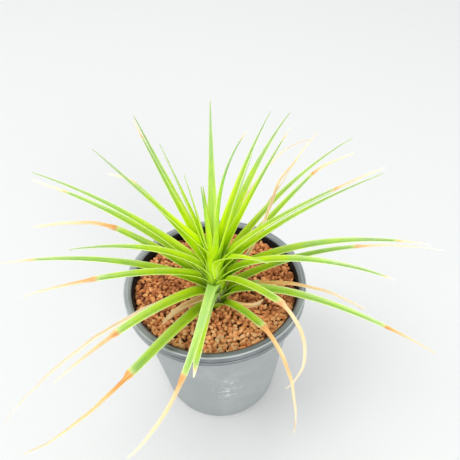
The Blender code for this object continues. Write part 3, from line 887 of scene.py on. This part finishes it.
LEAVES = (
    Leaf("left_2", 134, 108, 60, 7, 1.0, 0, 88, 6.0, full=1.0),
    Leaf("left_3", 150, 114, 62, -6, 1.0, 0, 82, 5.4, 0.11, full=1.2, tan=0.3),
    Leaf("left_8", 160, 111, 59, 16, 1.0, 0, 73, 5.9, 0.2, 42, full=1.4),
    Leaf("left_9", 173, 106, 55, 33, 1.0, 0, 102, 6.5, full=1.2),
    Leaf("left_10", 163, 104, 43, 32, 1.0, 0, 106, 6.0, 0.18, full=1.6, tan=0.0),
    Leaf("left_11", 172, 100.7, 44, 25, 1.0, 0, 103, 5.6, 0.45, 34, full=2.0, tan=0.55, shrink=0.4),
    Leaf("left_12", -160, 108, 65, 54, 0.7, 0, 77, 5.9, full=1.8),
    Leaf("left_13", -170, 98, 44, 44, 1.0, 0, 110, 6.0, 0.16, full=1.5, tan=0.0),
    Leaf("left_14", -154, 103.4, 67, 60, 0.35, 0, 95, 5.0, 0.33, full=2.5, tan=0.5),
    Leaf("left_16", -140, 96, 56, 70, 0.4, 0, 93, 6.0, 0.37, full=2.6, tan=0.45, shrink=0.4),
    Leaf("left_17", -153, 94, 46, 89, 0.47, 0, 132, 4.2, life=Life.DEAD, full=3.2, tan=0.45),
    Leaf("left_18", -147, 91, 46, 70, 0.5, 0, 32, 4.0, life=Life.DEAD, tan=0.9, shrink=0.0, full=7.0),
    Leaf("left_19", -126, 89, 32, 66, 0.7, -60, 126, 5.8, 0.5, full=2.5, tan=0.85, shrink=0.52),
    Leaf("front_20", -98.8, 103, 28, 77, 1.0, -75, 106, 4.3, 0.42, frost=0.8, full=1.8, tan=0.45),
    Leaf("front_21", -101.5, 98, 20, 50, 1.0, 0, 52, 4.2, 0.08, frost=0.8, full=6.0),
    Leaf("back_2", 90, 107, 46, 14, 1.0, 0, 66, 4.2),
    Leaf("back_3", 92, 97, 30, 20, 1.0, 0, 50, 3.6),
    Leaf("right_4", 54, 112, 58, 42, 1.0, 0, 93, 6.6, full=1.1),
    Leaf("right_6", 29.5, 114, 62, 9, 1.0, 0, 78, 5.3, 0.08, full=1.2),
    Leaf("right_7", 54.5, 109.7, 56, 73, 1.1, -20, 102, 3.0, life=Life.DEAD, full=1.6, tan=0.4),
    Leaf("right_8", 12, 98.5, 42, -48, 0.6, 0, 99, 3.0, 0.35, 34, life=Life.DEAD, full=2.5, tan=0.7),
    Leaf("right_9", 33, 108, 49, 42, 1.0, 0, 104, 5.2, full=1.1),
    Leaf("right_10", 22, 104.5, 48, 10, 1.0, 0, 96, 5.5, 0.26, 31, full=1.5, tan=0.4),
    Leaf("right_12", -6, 110, 52, 22, 1.0, 0, 97, 5.4, full=1.2),
    Leaf("right_13", -8, 102.5, 52, 60, 0.8, 0, 110, 5.9, 0.14, full=1.8),
    Leaf("right_14", -3, 95, 44, 58, 1.0, 0, 120, 6.0, 0.37, tan=0.1, full=0.9),
    Leaf("right_15", -25, 106, 55, 62, 0.8, 0, 94, 5.1, 0.05, full=2.2),
    Leaf("right_17", -53.5, 104, 59, 70, 0.5, 0, 127, 4.1, 0.59, 100, full=2.4, tan=0.25, shrink=0.5),
    Leaf("right_18", -60, 88.5, 48, 64, 0.8, 0, 118, 4.2, 0.6, 75, full=2.4, tan=0.65, shrink=0.42),
    Leaf("right_19", -33, 91.7, 68, 80, 0.5, 0, 117, 5.6, 0.19, full=1.8, tan=0.85),
    Leaf("right_20", 43, 98, 47, 14, 1.0, 0, 80, 2.8, life=Life.DEAD, full=1.8, tan=0.6),
    Leaf("right_21", -15, 89.5, 60, 95, 0.8, 0, 84, 4.6, 0.7, full=2.0, tan=0.8, shrink=0.45),
    Leaf("right_22", -27.5, 88.6, 3, 0, 1.0, 100, 25, 2.3, life=Life.DEAD, full=8.0, tan=1.0, shrink=0.0),
)

OLD_SHEATHS = (
    Leaf("sheath_1", -98, 92, 86, 0, 1.0, 0, 11, 5.0),
    Leaf("sheath_2", -64, 90.5, 80, 0, 1.0, 0, 12, 5.6),
    Leaf("sheath_3", -25, 91, 82, 0, 1.0, 0, 10, 5.0),
)


@dataclass
class Blade:
    """Grows one leaf: a sheath that clasps the stem, and a channelled blade with a limp dried end."""

    leaf: Leaf
    number: int
    crown: Crown = field(default_factory=Crown)
    sheath: float = 9.0
    sheath_rows: int = 6
    tucked: float = 0.8  # how much nearer to the stem's axis the sheath's foot is than its top
    clasping: float = 1.35  # how far round the stem it reaches to a side at most, in radians
    opening: tuple[float, float] = (-4.0, 10.0)  # where it opens from the stem's arc to the blade's channel
    row_step: float = 1.9
    columns: int = 9  # across the upper side, and as many below
    channel: float = math.radians(38.0)  # how steep a green blade's edges are across
    rolled: float = math.radians(80.0)  # the same where it has dried and rolled up
    crease: float = 0.4  # how sharp the channel's fold is: 1 is an arc, less is nearer a V
    section_steps: int = 8  # between neighbouring columns, to add up the section
    taper: float = 0.93
    dry_taper: float = 0.55  # how much of its width a dried end has lost at its tip
    neck: float = 5.0  # length over which a blade narrows where it has dried
    flare: float = 0.45  # how much wider the foot is
    flare_reach: float = 16.0
    bleached_from: float = 0.4  # how far a dead leaf has bleached at its foot, from 0 to 1
    bleach_reach: float = 110.0  # how far along it has bleached to the full
    limp_share: float = 0.62
    waviness: float = 0.16  # of what has dried
    wavy_after: float = 25.0  # how far past the drying front the waves are full
    wave_length: tuple[float, float] = (14.0, 30.0)  # the shortest and the longest
    ripple: float = 0.4  # how high the short waves are, as a share of the long ones
    ripple_mm: tuple[float, float] = (7.0, 6.0)  # their length to the side and upwards, over 2 pi
    twist_from: float = 5.0
    green_twist: float = 8.0  # degrees over the length, at most to either side
    dry_twist: tuple[float, float] = (20.0, 60.0)
    rib_thickness: float = 0.55
    edge_thickness: float = 0.25
    thin_share: float = 0.45  # how much of its thickness a blade keeps where it is narrowest
    thick_from: float = 2.0  # the half width from which it has all of it
    tip_half_width: float = 0.15
    rolling: tuple[float, float] = (-1.0, 9.0)  # where past the drying front it rolls up
    far: float = 30.0  # counts as well past the drying front, or well short of it
    old_below: float = 30.0  # how far under the top of the crown a leaf counts as old
    tones: tuple[float, float, float] = (0.14, 0.44, 0.46)  # of an old foot, of the blade, to a long tip
    old_tip: float = 0.24  # how much less the tone of an old leaf rises to its tip
    long_from: float = 80.0  # the length from which a tip has its full tone
    greening: tuple[float, float] = (5.0, 65.0)  # where the foot's tone turns to the blade's
    greying: tuple[float, float] = (0.5, 0.95)  # where that turns to the tip's, in shares of the length
    frost_cover: float = 0.7
    frost_ends: tuple[float, float] = (0.3, 0.55)  # on an old leaf, in shares of the length
    # painted shade at the feet of the lower leaves
    shade_cover: float = 0.4
    shade_ends: tuple[float, float] = (0.25, 0.7)  # in shares of the length
    seed: int = 900

    def heading(self, share: np.ndarray) -> tuple[np.ndarray, np.ndarray]:
        """Works out which way the blade runs, by Leaf's formula.

        The hang grows as 1 - (1 - t)^4, with t from 0 where the limp end starts to 1 at the tip.

        Args:
            share: Shares of its length.

        Returns:
            The steepness and the direction there, in radians.
        """
        leaf = self.leaf
        limp = max(min(leaf.dry, self.limp_share), 0.01)
        hang = leaf.hang * (1.0 - (1.0 - np.clip((share - 1.0 + limp) / limp, 0.0, 1.0)) ** 4)
        pitch = np.radians(leaf.rise - leaf.droop * share**leaf.bend - hang)
        return pitch, np.radians(leaf.turn + leaf.sway * share**3)

    def middle_line(self, rng: np.random.Generator) -> tuple[np.ndarray, ...]:
        """Follows the leaf from the foot of its sheath to its tip.

        The sheath runs up the stem's surface, from just under it to just clear of it. The blade adds up
        steps along its heading. Three passes of (1, 2, 1) / 4 round the joint between the two.

        Args:
            rng: The leaf's own random numbers, for the waviness and twist of what has dried.

        Returns:
            mm along the leaf with 0 where the blade starts, the points, and the unit vectors across the
            leaf and up out of its channel.
        """
        leaf = self.leaf
        rows = max(12, round(leaf.length / self.row_step))
        share = np.linspace(0.0, 1.0, rows + 1)
        turn = math.radians(leaf.turn)
        out = np.array([math.cos(turn), math.sin(turn), 0.0])
        height = leaf.height - np.linspace(self.sheath, 0.0, self.sheath_rows, endpoint=False)
        clear = CLEARANCE - self.tucked * (leaf.height - height) / self.sheath
        clasp = self.crown.axis(height) + (self.crown.radius(height) + clear)[:, None] * out
        top = np.array([leaf.height])
        start = self.crown.axis(top) + (self.crown.radius(top) + CLEARANCE)[:, None] * out
        pitch, yaw = self.heading((share[:-1] + share[1:]) / 2)
        steps = np.stack([np.cos(pitch) * np.cos(yaw), np.cos(pitch) * np.sin(yaw), np.sin(pitch)], 1)
        points = np.vstack([clasp, start, start + np.cumsum(steps * leaf.length / rows, axis=0)])
        for _ in range(3):
            points[1:-1] = (points[:-2] + 2 * points[1:-1] + points[2:]) / 4
        along_mm = np.concatenate([height - leaf.height, share * leaf.length])
        yaw = np.concatenate([np.full(self.sheath_rows, turn), self.heading(share)[1]])

        along = np.gradient(points, axis=0)
        along /= np.linalg.norm(along, axis=1, keepdims=True)
        across = np.stack([-np.sin(yaw), np.cos(yaw), np.zeros_like(yaw)], 1)
        across -= along * np.sum(across * along, axis=1, keepdims=True)
        across /= np.linalg.norm(across, axis=1, keepdims=True)
        up = np.cross(along, across)

        dried = smoothstep(self.past_front(along_mm), 0.0, self.wavy_after)[:, None]
        phase = rng.uniform(0.0, 2 * np.pi, 4)
        pace = 2 * np.pi / rng.uniform(*self.wave_length, 2)
        sideways, upwards = (
            np.sin(along_mm * pace[way] + phase[2 * way])
            + self.ripple * np.sin(along_mm / self.ripple_mm[way] + phase[2 * way + 1])
            for way in (0, 1)
        )
        points = points + dried * self.waviness * (sideways[:, None] * across + upwards[:, None] * up)

        begun = smoothstep(along_mm, self.twist_from, leaf.length)
        twist = rng.uniform(-self.green_twist, self.green_twist) * begun
        twist += rng.choice([-1.0, 1.0]) * rng.uniform(*self.dry_twist) * self.dry_share(along_mm)
        sine, cosine = np.sin(np.radians(twist))[:, None], np.cos(np.radians(twist))[:, None]
        return along_mm, points, across * cosine + up * sine, up * cosine - across * sine

    def past_front(self, along_mm: np.ndarray) -> np.ndarray:
        """Measures from the front of what has dried. A dead leaf lies past it as a whole.

        Args:
            along_mm: Places along the leaf.

        Returns:
            Mm past the front, negative where the leaf is green.
        """
        leaf = self.leaf
        if leaf.life is Life.DEAD:
            return along_mm + self.sheath + self.far
        if leaf.dry == 0.0:
            return along_mm - leaf.length - self.far
        return along_mm - leaf.length * (1.0 - leaf.dry)

    def dry_share(self, along_mm: np.ndarray) -> np.ndarray:
        """Works out how far what has dried has weathered.

        Args:
            along_mm: Places along the leaf.

        Returns:
            How far along the dried end they are, from 0 to 1, or how far a dead leaf has bleached there.
        """
        leaf = self.leaf
        if leaf.life is Life.DEAD:
            spread = (1.0 - self.bleached_from) / self.bleach_reach
            return np.clip(self.bleached_from + spread * along_mm, 0.0, 1.0)
        return np.clip(1.0 - (leaf.length - along_mm) / max(leaf.length * leaf.dry, 1.0), 0.0, 1.0)

    def build(self, finish: bpy.types.Material) -> bpy.types.Object:
        """Lays a curved section across the middle line and closes it below.

        Across the blade, with v from -1 to 1, the section climbs at the angle alpha |v|^c to either side: c
        is 1 for an arc and less for a channel with flatter sides. The cosines and sines of that angle are
        added up from the middle, which keeps the section's own length. On the sheath the arc has the stem's
        radius; dried, it is rolled.

        Args:
            finish: The leaf's tissue.

        Returns:
            The leaf.
        """
        leaf = self.leaf
        along_mm, points, across, up = self.middle_line(np.random.default_rng(self.seed + self.number))
        share = np.clip(along_mm / leaf.length, 0.0, 1.0)
        front = self.past_front(along_mm)
        dried = smoothstep(front, *self.rolling)
        dried_part = 0.0 if leaf.life is Life.DEAD else leaf.dry
        green_share = np.minimum(share, 1.0 - dried_part)
        width = leaf.width * (1.0 - self.taper * green_share**leaf.full)
        width *= 1.0 - self.dry_taper * ((share - green_share) / max(dried_part, 0.01)) ** 1.5
        width *= 1.0 + self.flare * np.exp(-np.clip(along_mm, 0.0, None) / self.flare_reach)
        width *= 1.0 - leaf.shrink * smoothstep(front, 0.0, self.neck)

        side = self.columns // 2
        fine = (np.arange(side * self.section_steps) + 0.5) / (side * self.section_steps)
        flatness = (1.0 + math.cos(self.channel)) / 2
        half = np.maximum(width / flatness / 2, self.tip_half_width)
        stem = self.crown.radius(np.clip(leaf.height + along_mm, self.crown.foot, leaf.height)) + CLEARANCE
        clasping = np.minimum(half / stem, self.clasping)
        opened = smoothstep(along_mm, *self.opening)
        alpha = clasping + (self.channel + (self.rolled - self.channel) * dried - clasping) * opened
        crease = 1.0 + (self.crease - 1.0) * opened * (1.0 - dried)
        climb = alpha[:, None] * fine ** crease[:, None]
        step = (half / len(fine))[:, None]
        x, y = (
            np.cumsum(part * step, axis=1)[:, self.section_steps - 1 :: self.section_steps]
            for part in (np.cos(climb), np.sin(climb))
        )
        zero = np.zeros((len(half), 1))
        x = np.hstack([-x[:, ::-1], zero, x])
        y = np.hstack([y[:, ::-1], zero, y])
        v = np.linspace(-1.0, 1.0, self.columns)
        angle = alpha[:, None] * np.sign(v) * np.abs(v) ** crease[:, None]
        upper = points[:, None] + across[:, None] * x[..., None] + up[:, None] * y[..., None]
        normal = up[:, None] * np.cos(angle)[..., None] - across[:, None] * np.sin(angle)[..., None]
        thickness = self.rib_thickness + (self.edge_thickness - self.rib_thickness) * np.abs(v) ** 1.5
        kept = np.clip(self.thin_share + (1.0 - self.thin_share) * half / self.thick_from, 0.0, 1.0)
        lower = upper - normal * (thickness * kept[:, None])[..., None]
        rings = np.concatenate([upper, lower[:, ::-1]], axis=1)
        rows, count = rings.shape[:2]

        faces = grid_quads(rows, count, closed=True).tolist()
        column = np.arange(self.columns - 1)
        rung = np.stack([column, column + 1, count - 2 - column, count - 1 - column], 1)
        faces += rung[:, ::-1].tolist() + (rung + (rows - 1) * count).tolist()

        both = np.concatenate([v, v[::-1]])
        lay = np.stack(np.broadcast_arrays(half[:, None] * both, along_mm[:, None], float(self.number)), -1)
        age = np.clip((self.crown.top - leaf.height) / self.old_below, 0.0, 1.0)
        old, green, grey = self.tones
        tone = old * age + (green - old * age) * smoothstep(along_mm, *self.greening)
        long = min(1.0, leaf.length / self.long_from) ** 2
        tone += long * (grey - self.old_tip * age) * smoothstep(share, *self.greying)
        life = np.stack([front, self.dry_share(along_mm), np.clip(tone, 0.0, 1.0)], -1)
        bare = min(1.0, 3.0 * age) * smoothstep(share, *self.frost_ends)
        frost = self.frost_cover * leaf.frost * (1.0 - bare)
        # painted shade at the feet of the lower leaves, which sit low under the crown
        shade = self.shade_cover * age * (1.0 - leaf.frost) * (1.0 - smoothstep(share, *self.shade_ends))
        cast = np.stack([np.full(rows, leaf.tan), frost, shade], -1)
        below = np.concatenate([np.zeros(self.columns), np.ones(self.columns)])
        attributes = {
            "lay": lay.reshape(-1, 3),
            "life": np.repeat(life, count, 0),
            "cast": np.repeat(cast, count, 0),
            "edge": np.tile(np.abs(both), rows),
            "under": np.tile(below, rows),
        }
        return add_piece(f"blade_{leaf.name}", rings.reshape(-1, 3), faces, finish, 50.0, attributes)


@dataclass
class Rosette:
    """The plant: the stem, the stripped sheaths round its foot, and all the leaves."""

    crown: Crown = field(default_factory=Crown)
    stem_sides: int = 36
    stem_rows: int = 48
    stem_inset: float = 0.35  # how far the stem lies inside the leaves' feet
    ridge_height: float = 0.18
    ridge_step: float = 1.7  # half the way from one ridge to the next
    flutes: int = 5
    flute_height: float = 0.1
    flute_lean: float = 6.0  # the height over which the flutes turn by a radian

    def build_stem(self, finish: bpy.types.Material) -> None:
        """Makes the stem as rings round its leaning axis, with a low ridge where each stripped leaf sat.

        The ridge is a sine that climbs half a wave for each step of height and one wave for each turn.
        Shallow flutes, a sine with five waves for each turn, cross it.

        Args:
            finish: The old sheaths' tissue.
        """
        height = np.linspace(self.crown.foot, self.crown.top, self.stem_rows)[:, None]
        angle = circle(self.stem_sides)
        ridge = self.ridge_height * np.sin(height / self.ridge_step * np.pi + angle)
        ridge = ridge + self.flute_height * np.sin(self.flutes * angle + height / self.flute_lean)
        radius = self.crown.radius(height) - self.stem_inset + ridge
        rings = np.repeat(self.crown.axis(height[:, 0])[:, None], self.stem_sides, 1)
        rings[..., 0] += radius * np.cos(angle)
        rings[..., 1] += radius * np.sin(angle)
        faces = grid_quads(self.stem_rows, self.stem_sides, closed=True).tolist()
        last = (self.stem_rows - 1) * self.stem_sides
        faces += [list(range(self.stem_sides))[::-1], list(range(last, last + self.stem_sides))]
        declare(add_piece("stem", rings.reshape(-1, 3), faces, finish, 60.0), Slot.GREEN, "crown")

    def build(self, tissue: bpy.types.Material, sheath: bpy.types.Material) -> None:
        """Grows the whole plant.

        Args:
            tissue: The leaves' material.
            sheath: The stem's and old sheaths' material.
        """
        self.build_stem(sheath)
        for number, leaf in enumerate(OLD_SHEATHS):
            declare(Blade(leaf, number, self.crown).build(sheath), Slot.GREEN, "crown")
        for number, leaf in enumerate(HEART_LEAVES + LEAVES):
            blade = Blade(leaf, number, self.crown).build(tissue)
            node = "crown" if leaf in HEART_LEAVES else f"leaf_{leaf.name}"
            declare(blade, Slot.DRY if leaf.life is Life.DEAD else Slot.GREEN, node)


@dataclass
class GranuleBed:
    """Porous clay granules of 2 to 4 mm over a body of fines that fills the pot, painted dark as the shade
    between them.
    """

    pot: NurseryPot
    crown: Crown = field(default_factory=Crown)
    level: float = 86.4
    mound: float = 0.4
    mound_reach: float = 12.0
    pitch: float = 2.9
    pattern_reach: float = 60.0
    layer_drop: float = 1.8
    layers: int = 2
    layer_shift: tuple[float, float] = (0.5, 0.3)  # of the pitch, from one layer to the next
    size: tuple[float, float] = (0.9, 1.65)  # the smallest and the largest mean radius
    jitter: float = 0.8
    proud: float = 0.6  # how far a granule's top stands over the level, give or take its lift
    lift: tuple[float, float] = (-1.1, 0.6)
    crumbs: int = 220
    crumb_size: tuple[float, float] = (0.5, 0.85)
    crumb_reach: float = 46.0
    crumb_sunk: float = 0.1  # how deep a crumb lies at least, as a share of its radius
    crumb_drop: tuple[float, float] = (-1.4, 0.0)
    edge_growth: float = 0.25  # how much larger they are at the wall
    edge_band: tuple[float, float] = (42.0, 47.0)  # the distances from the axis over which they grow
    stem_room: float = 0.7  # how clear of the stem their middles stay, as a share of their radius
    wall_gap: float = 0.15
    squareness: float = 0.7  # the power that the ball's points are raised to
    lumps: tuple[float, float] = (0.74, 1.18)
    least_stretch: tuple[float, float, float] = (1.05, 0.75, 0.65)
    most_stretch: tuple[float, float, float] = (1.5, 1.0, 0.95)
    firing: tuple[float, float] = (0.32, 0.17)  # the mean and the spread of their tones
    paler: float = 0.42  # how much paler they are painted where more light falls on them
    lit_front: tuple[float, float] = (8.0, 44.0)  # how far in front of the axis that is
    fines_drop: float = 2.6  # how far under the level the fines lie
    sides: int = 7
    rings: int = 4
    body_sides: int = 96
    seed: int = 21

    def surface(self, x: np.ndarray, y: np.ndarray) -> np.ndarray:
        """Shapes the bed's top: its level, and a low mound exp(-(d / reach)^2) round the stem.

        Args:
            x: Places to the right of the pot's axis.
            y: Places behind it.

        Returns:
            The heights there.
        """
        foot = self.crown.axis(np.array([self.level]))[0]
        distance = np.hypot(x - foot[0], y - foot[1])
        return self.level + self.mound * np.exp(-((distance / self.mound_reach) ** 2))

    def places(self, rng: np.random.Generator) -> tuple[np.ndarray, np.ndarray]:
        """Spreads the granules over a jittered close-packed pattern in layers, with crumbs on top.

        Args:
            rng: The bed's random numbers.

        Returns:
            The granules' middles and their mean radii.
        """
        reach = int(self.pattern_reach / self.pitch)
        row, column = np.indices((2 * reach + 1, 2 * reach + 1)) - reach
        x = self.pitch * (column + row / 2).ravel()
        y = self.pitch * (row * math.sqrt(3) / 2).ravel()
        middles, radii = [], []
        for layer in range(self.layers):
            across, along = (share * self.pitch * layer for share in self.layer_shift)
            size = rng.uniform(*self.size, len(x))
            px = x + across + rng.uniform(-self.jitter, self.jitter, len(x))
            py = y + along + rng.uniform(-self.jitter, self.jitter, len(x))
            top = self.surface(px, py) + self.proud - self.layer_drop * layer
            middles.append(np.stack([px, py, top - size + rng.uniform(*self.lift, len(x))], 1))
            radii.append(size)
        angle = rng.uniform(0.0, 2 * np.pi, self.crumbs)
        spread = self.crumb_reach * np.sqrt(rng.uniform(0.0, 1.0, self.crumbs))
        size = rng.uniform(*self.crumb_size, self.crumbs)
        px, py = spread * np.cos(angle), spread * np.sin(angle)
        pz = self.surface(px, py) - self.crumb_sunk * size + rng.uniform(*self.crumb_drop, self.crumbs)
        middles.append(np.stack([px, py, pz], 1))
        radii.append(size)
        middle, radius = np.vstack(middles), np.concatenate(radii)

        stem = self.crown.axis(np.array([self.level]))[0]
        from_axis = np.hypot(middle[:, 0], middle[:, 1])
        from_stem = np.hypot(middle[:, 0] - stem[0], middle[:, 1] - stem[1])
        # they pack closer to the wall than the pattern does, so the outer ones are larger
        radius *= 1.0 + self.edge_growth * smoothstep(from_axis, *self.edge_band)
        keep = from_axis < self.pot.inner(self.level)
        keep &= from_stem > self.crown.radius(stem[2:])[0] + radius * self.stem_room
        return middle[keep], radius[keep]

    def build_granules(self, finish: bpy.types.Material) -> None:
        """Shapes every granule as a lumpy rounded block and joins them into one piece.

        Each is a ball whose points (sin q cos p, sin q sin p, cos q) are raised to a power under 1, which
        makes it blocky, pushed in and out, stretched along three axes and turned at random.

        Args:
            finish: The granules' clay.
        """
        rng = np.random.default_rng(self.seed)
        middle, radius = self.places(rng)
        count = len(radius)
        polar = np.linspace(0.0, np.pi, self.rings + 2)
        ball, quads, fans = revolve(np.stack([np.sin(polar), np.cos(polar)], 1), self.sides)
        ball = np.sign(ball) * np.abs(ball) ** self.squareness
        lumps = rng.uniform(*self.lumps, (count, len(ball), 1))
        stretch = rng.uniform(self.least_stretch, self.most_stretch, (count, 3))[:, None]
        local = ball * lumps * stretch * radius[:, None, None]
        spin = np.linalg.qr(rng.normal(size=(count, 3, 3)))[0]
        spin[np.linalg.det(spin) < 0] *= -1.0
        points = np.einsum("gij,gkj->gki", spin, local) + middle[:, None]
        # those at the edge lie flat against the pot's wall
        from_axis = np.hypot(points[..., 0], points[..., 1])
        pressed = np.minimum(1.0, (self.pot.inner(points[..., 2]) - self.wall_gap) / from_axis)
        points[..., :2] *= pressed[..., None]

        shift = (np.arange(count) * len(ball))[:, None, None]
        faces = (quads + shift).reshape(-1, 4).tolist() + (fans + shift).reshape(-1, 3).tolist()
        # painted light: the granules in front are paler, as more light falls on them than on those under
        # the leaves
        front_light = self.paler * smoothstep(-middle[:, 1], *self.lit_front)
        firing = np.repeat(np.clip(rng.normal(*self.firing, count) + front_light, 0.0, 1.0), len(ball))
        bed = add_piece("clay_granules", points.reshape(-1, 3), faces, finish, 24.0, {"firing": firing})
        declare(bed, Slot.GRANULES, "soil")

    def build_fines(self, finish: bpy.types.Material) -> None:
        """Makes the body under the granules: a turned block that fills the pot up to the lower layer.

        Args:
            finish: The fines, painted dark as the shade between the granules.
        """
        top = self.level - self.fines_drop
        base = self.pot.floor_top + CLEARANCE
        section = [
            # radius and height
            (0.0, top + 0.8),
            (12.0, top + 0.5),
            (30.0, top),
            (self.pot.inner(top) - 0.4, top - 0.6),
            (self.pot.inner(base) - 1.6, base),
            (0.0, base),
        ]
        points, quads, fans = revolve(np.array(section), self.body_sides)
        fines = add_piece("clay_fines", points, quads.tolist() + fans.tolist(), finish)
        declare(fines, Slot.GRANULES, "soil")


@dataclass
class Studio:
    """The white paper, the soft light and the camera."""

    paper_size: float = 6000.0
    lens_mm: float = 36.0
    sensor_mm: float = 36.0
    target: tuple[float, float, float] = (9.8, 145.0, 0.0)
    distance: float = 435.8
    look_down: float = 41.9
    roll: float = -2.1
    sky: str = "#fcfdfe"
    sky_strength: float = 0.81

    def build(self) -> None:
        """Lays the paper and sets up light and camera."""
        half = self.paper_size / 2
        corners = np.array([(-half, -half, 0.0), (half, -half, 0.0), (half, half, 0.0), (-half, half, 0.0)])
        paper = add_piece("paper", corners, [[0, 1, 2, 3]], SeamlessPaper().build())
        self.build_camera()
        self.build_light()
        log.info("studio ready")

    def build_camera(self) -> None:
        """Places the camera on the line that looks down at the target, rolled a little."""
        down = math.radians(self.look_down)
        forward = Vector((0.0, math.cos(down), -math.sin(down)))
        right = Vector((1.0, 0.0, 0.0))
        above = right.cross(forward)
        roll = math.radians(self.roll)
        side = math.cos(roll) * right + math.sin(roll) * above
        top = -math.sin(roll) * right + math.cos(roll) * above
        place = (Vector(self.target) - forward * self.distance) * MM
        lens = bpy.data.cameras.new("camera")
        lens.sensor_fit = "HORIZONTAL"
        lens.sensor_width = self.sensor_mm
        lens.lens = self.lens_mm
        lens.clip_start = 0.01
        lens.clip_end = 20.0
        camera = bpy.data.objects.new("camera", lens)
        turned = Matrix((side, top, -forward)).transposed().to_4x4()
        camera.matrix_world = Matrix.Translation(place) @ turned
        bpy.context.scene.collection.objects.link(camera)
        bpy.context.scene.camera = camera

    def build_light(self) -> None:
        """Sets an even white sky and three large soft lamps, and shows colours as they are."""
        scene = bpy.context.scene
        scene.view_settings.view_transform = "Standard"
        world = bpy.data.worlds.new("white_room")
        world.use_nodes = True
        sky = world.node_tree.nodes["Background"]
        sky.inputs["Color"].default_value = linear(self.sky)
        sky.inputs["Strength"].default_value = self.sky_strength
        scene.world = world
        for name, size, power, place, aim in (
            # size in mm, power in watts, where it stands and what it faces
            ("key", 1100.0, 19.0, (-1100.0, -300.0, 2300.0), (0.0, 60.0, 60.0)),
            ("fill", 900.0, 11.0, (600.0, -1400.0, 750.0), (0.0, 0.0, 60.0)),
            ("back", 2600.0, 18.0, (-300.0, 1700.0, 2800.0), (0.0, 900.0, 0.0)),
        ):
            lamp = bpy.data.lights.new(name, "AREA")
            lamp.shape = "DISK"
            lamp.size = size * MM
            lamp.energy = power
            holder = bpy.data.objects.new(name, lamp)
            holder.location = Vector(place) * MM
            holder.rotation_euler = (Vector(aim) - Vector(place)).to_track_quat("-Z", "Y").to_euler()
            scene.collection.objects.link(holder)


def main() -> None:
    """Builds every sub-assembly around the frame."""
    logging.basicConfig(level=logging.INFO, format="%(name)s: %(message)s")
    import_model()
    pot = NurseryPot()
    pot.build(MouldedPolypropylene().build())
    bed = GranuleBed(pot)
    bed.build_fines(FinesInShade().build())
    bed.build_granules(FiredClay().build())
    Rosette().build(LeafTissue().build(), OldSheath().build())
    Studio().build()


if __name__ == "__main__":
    main()
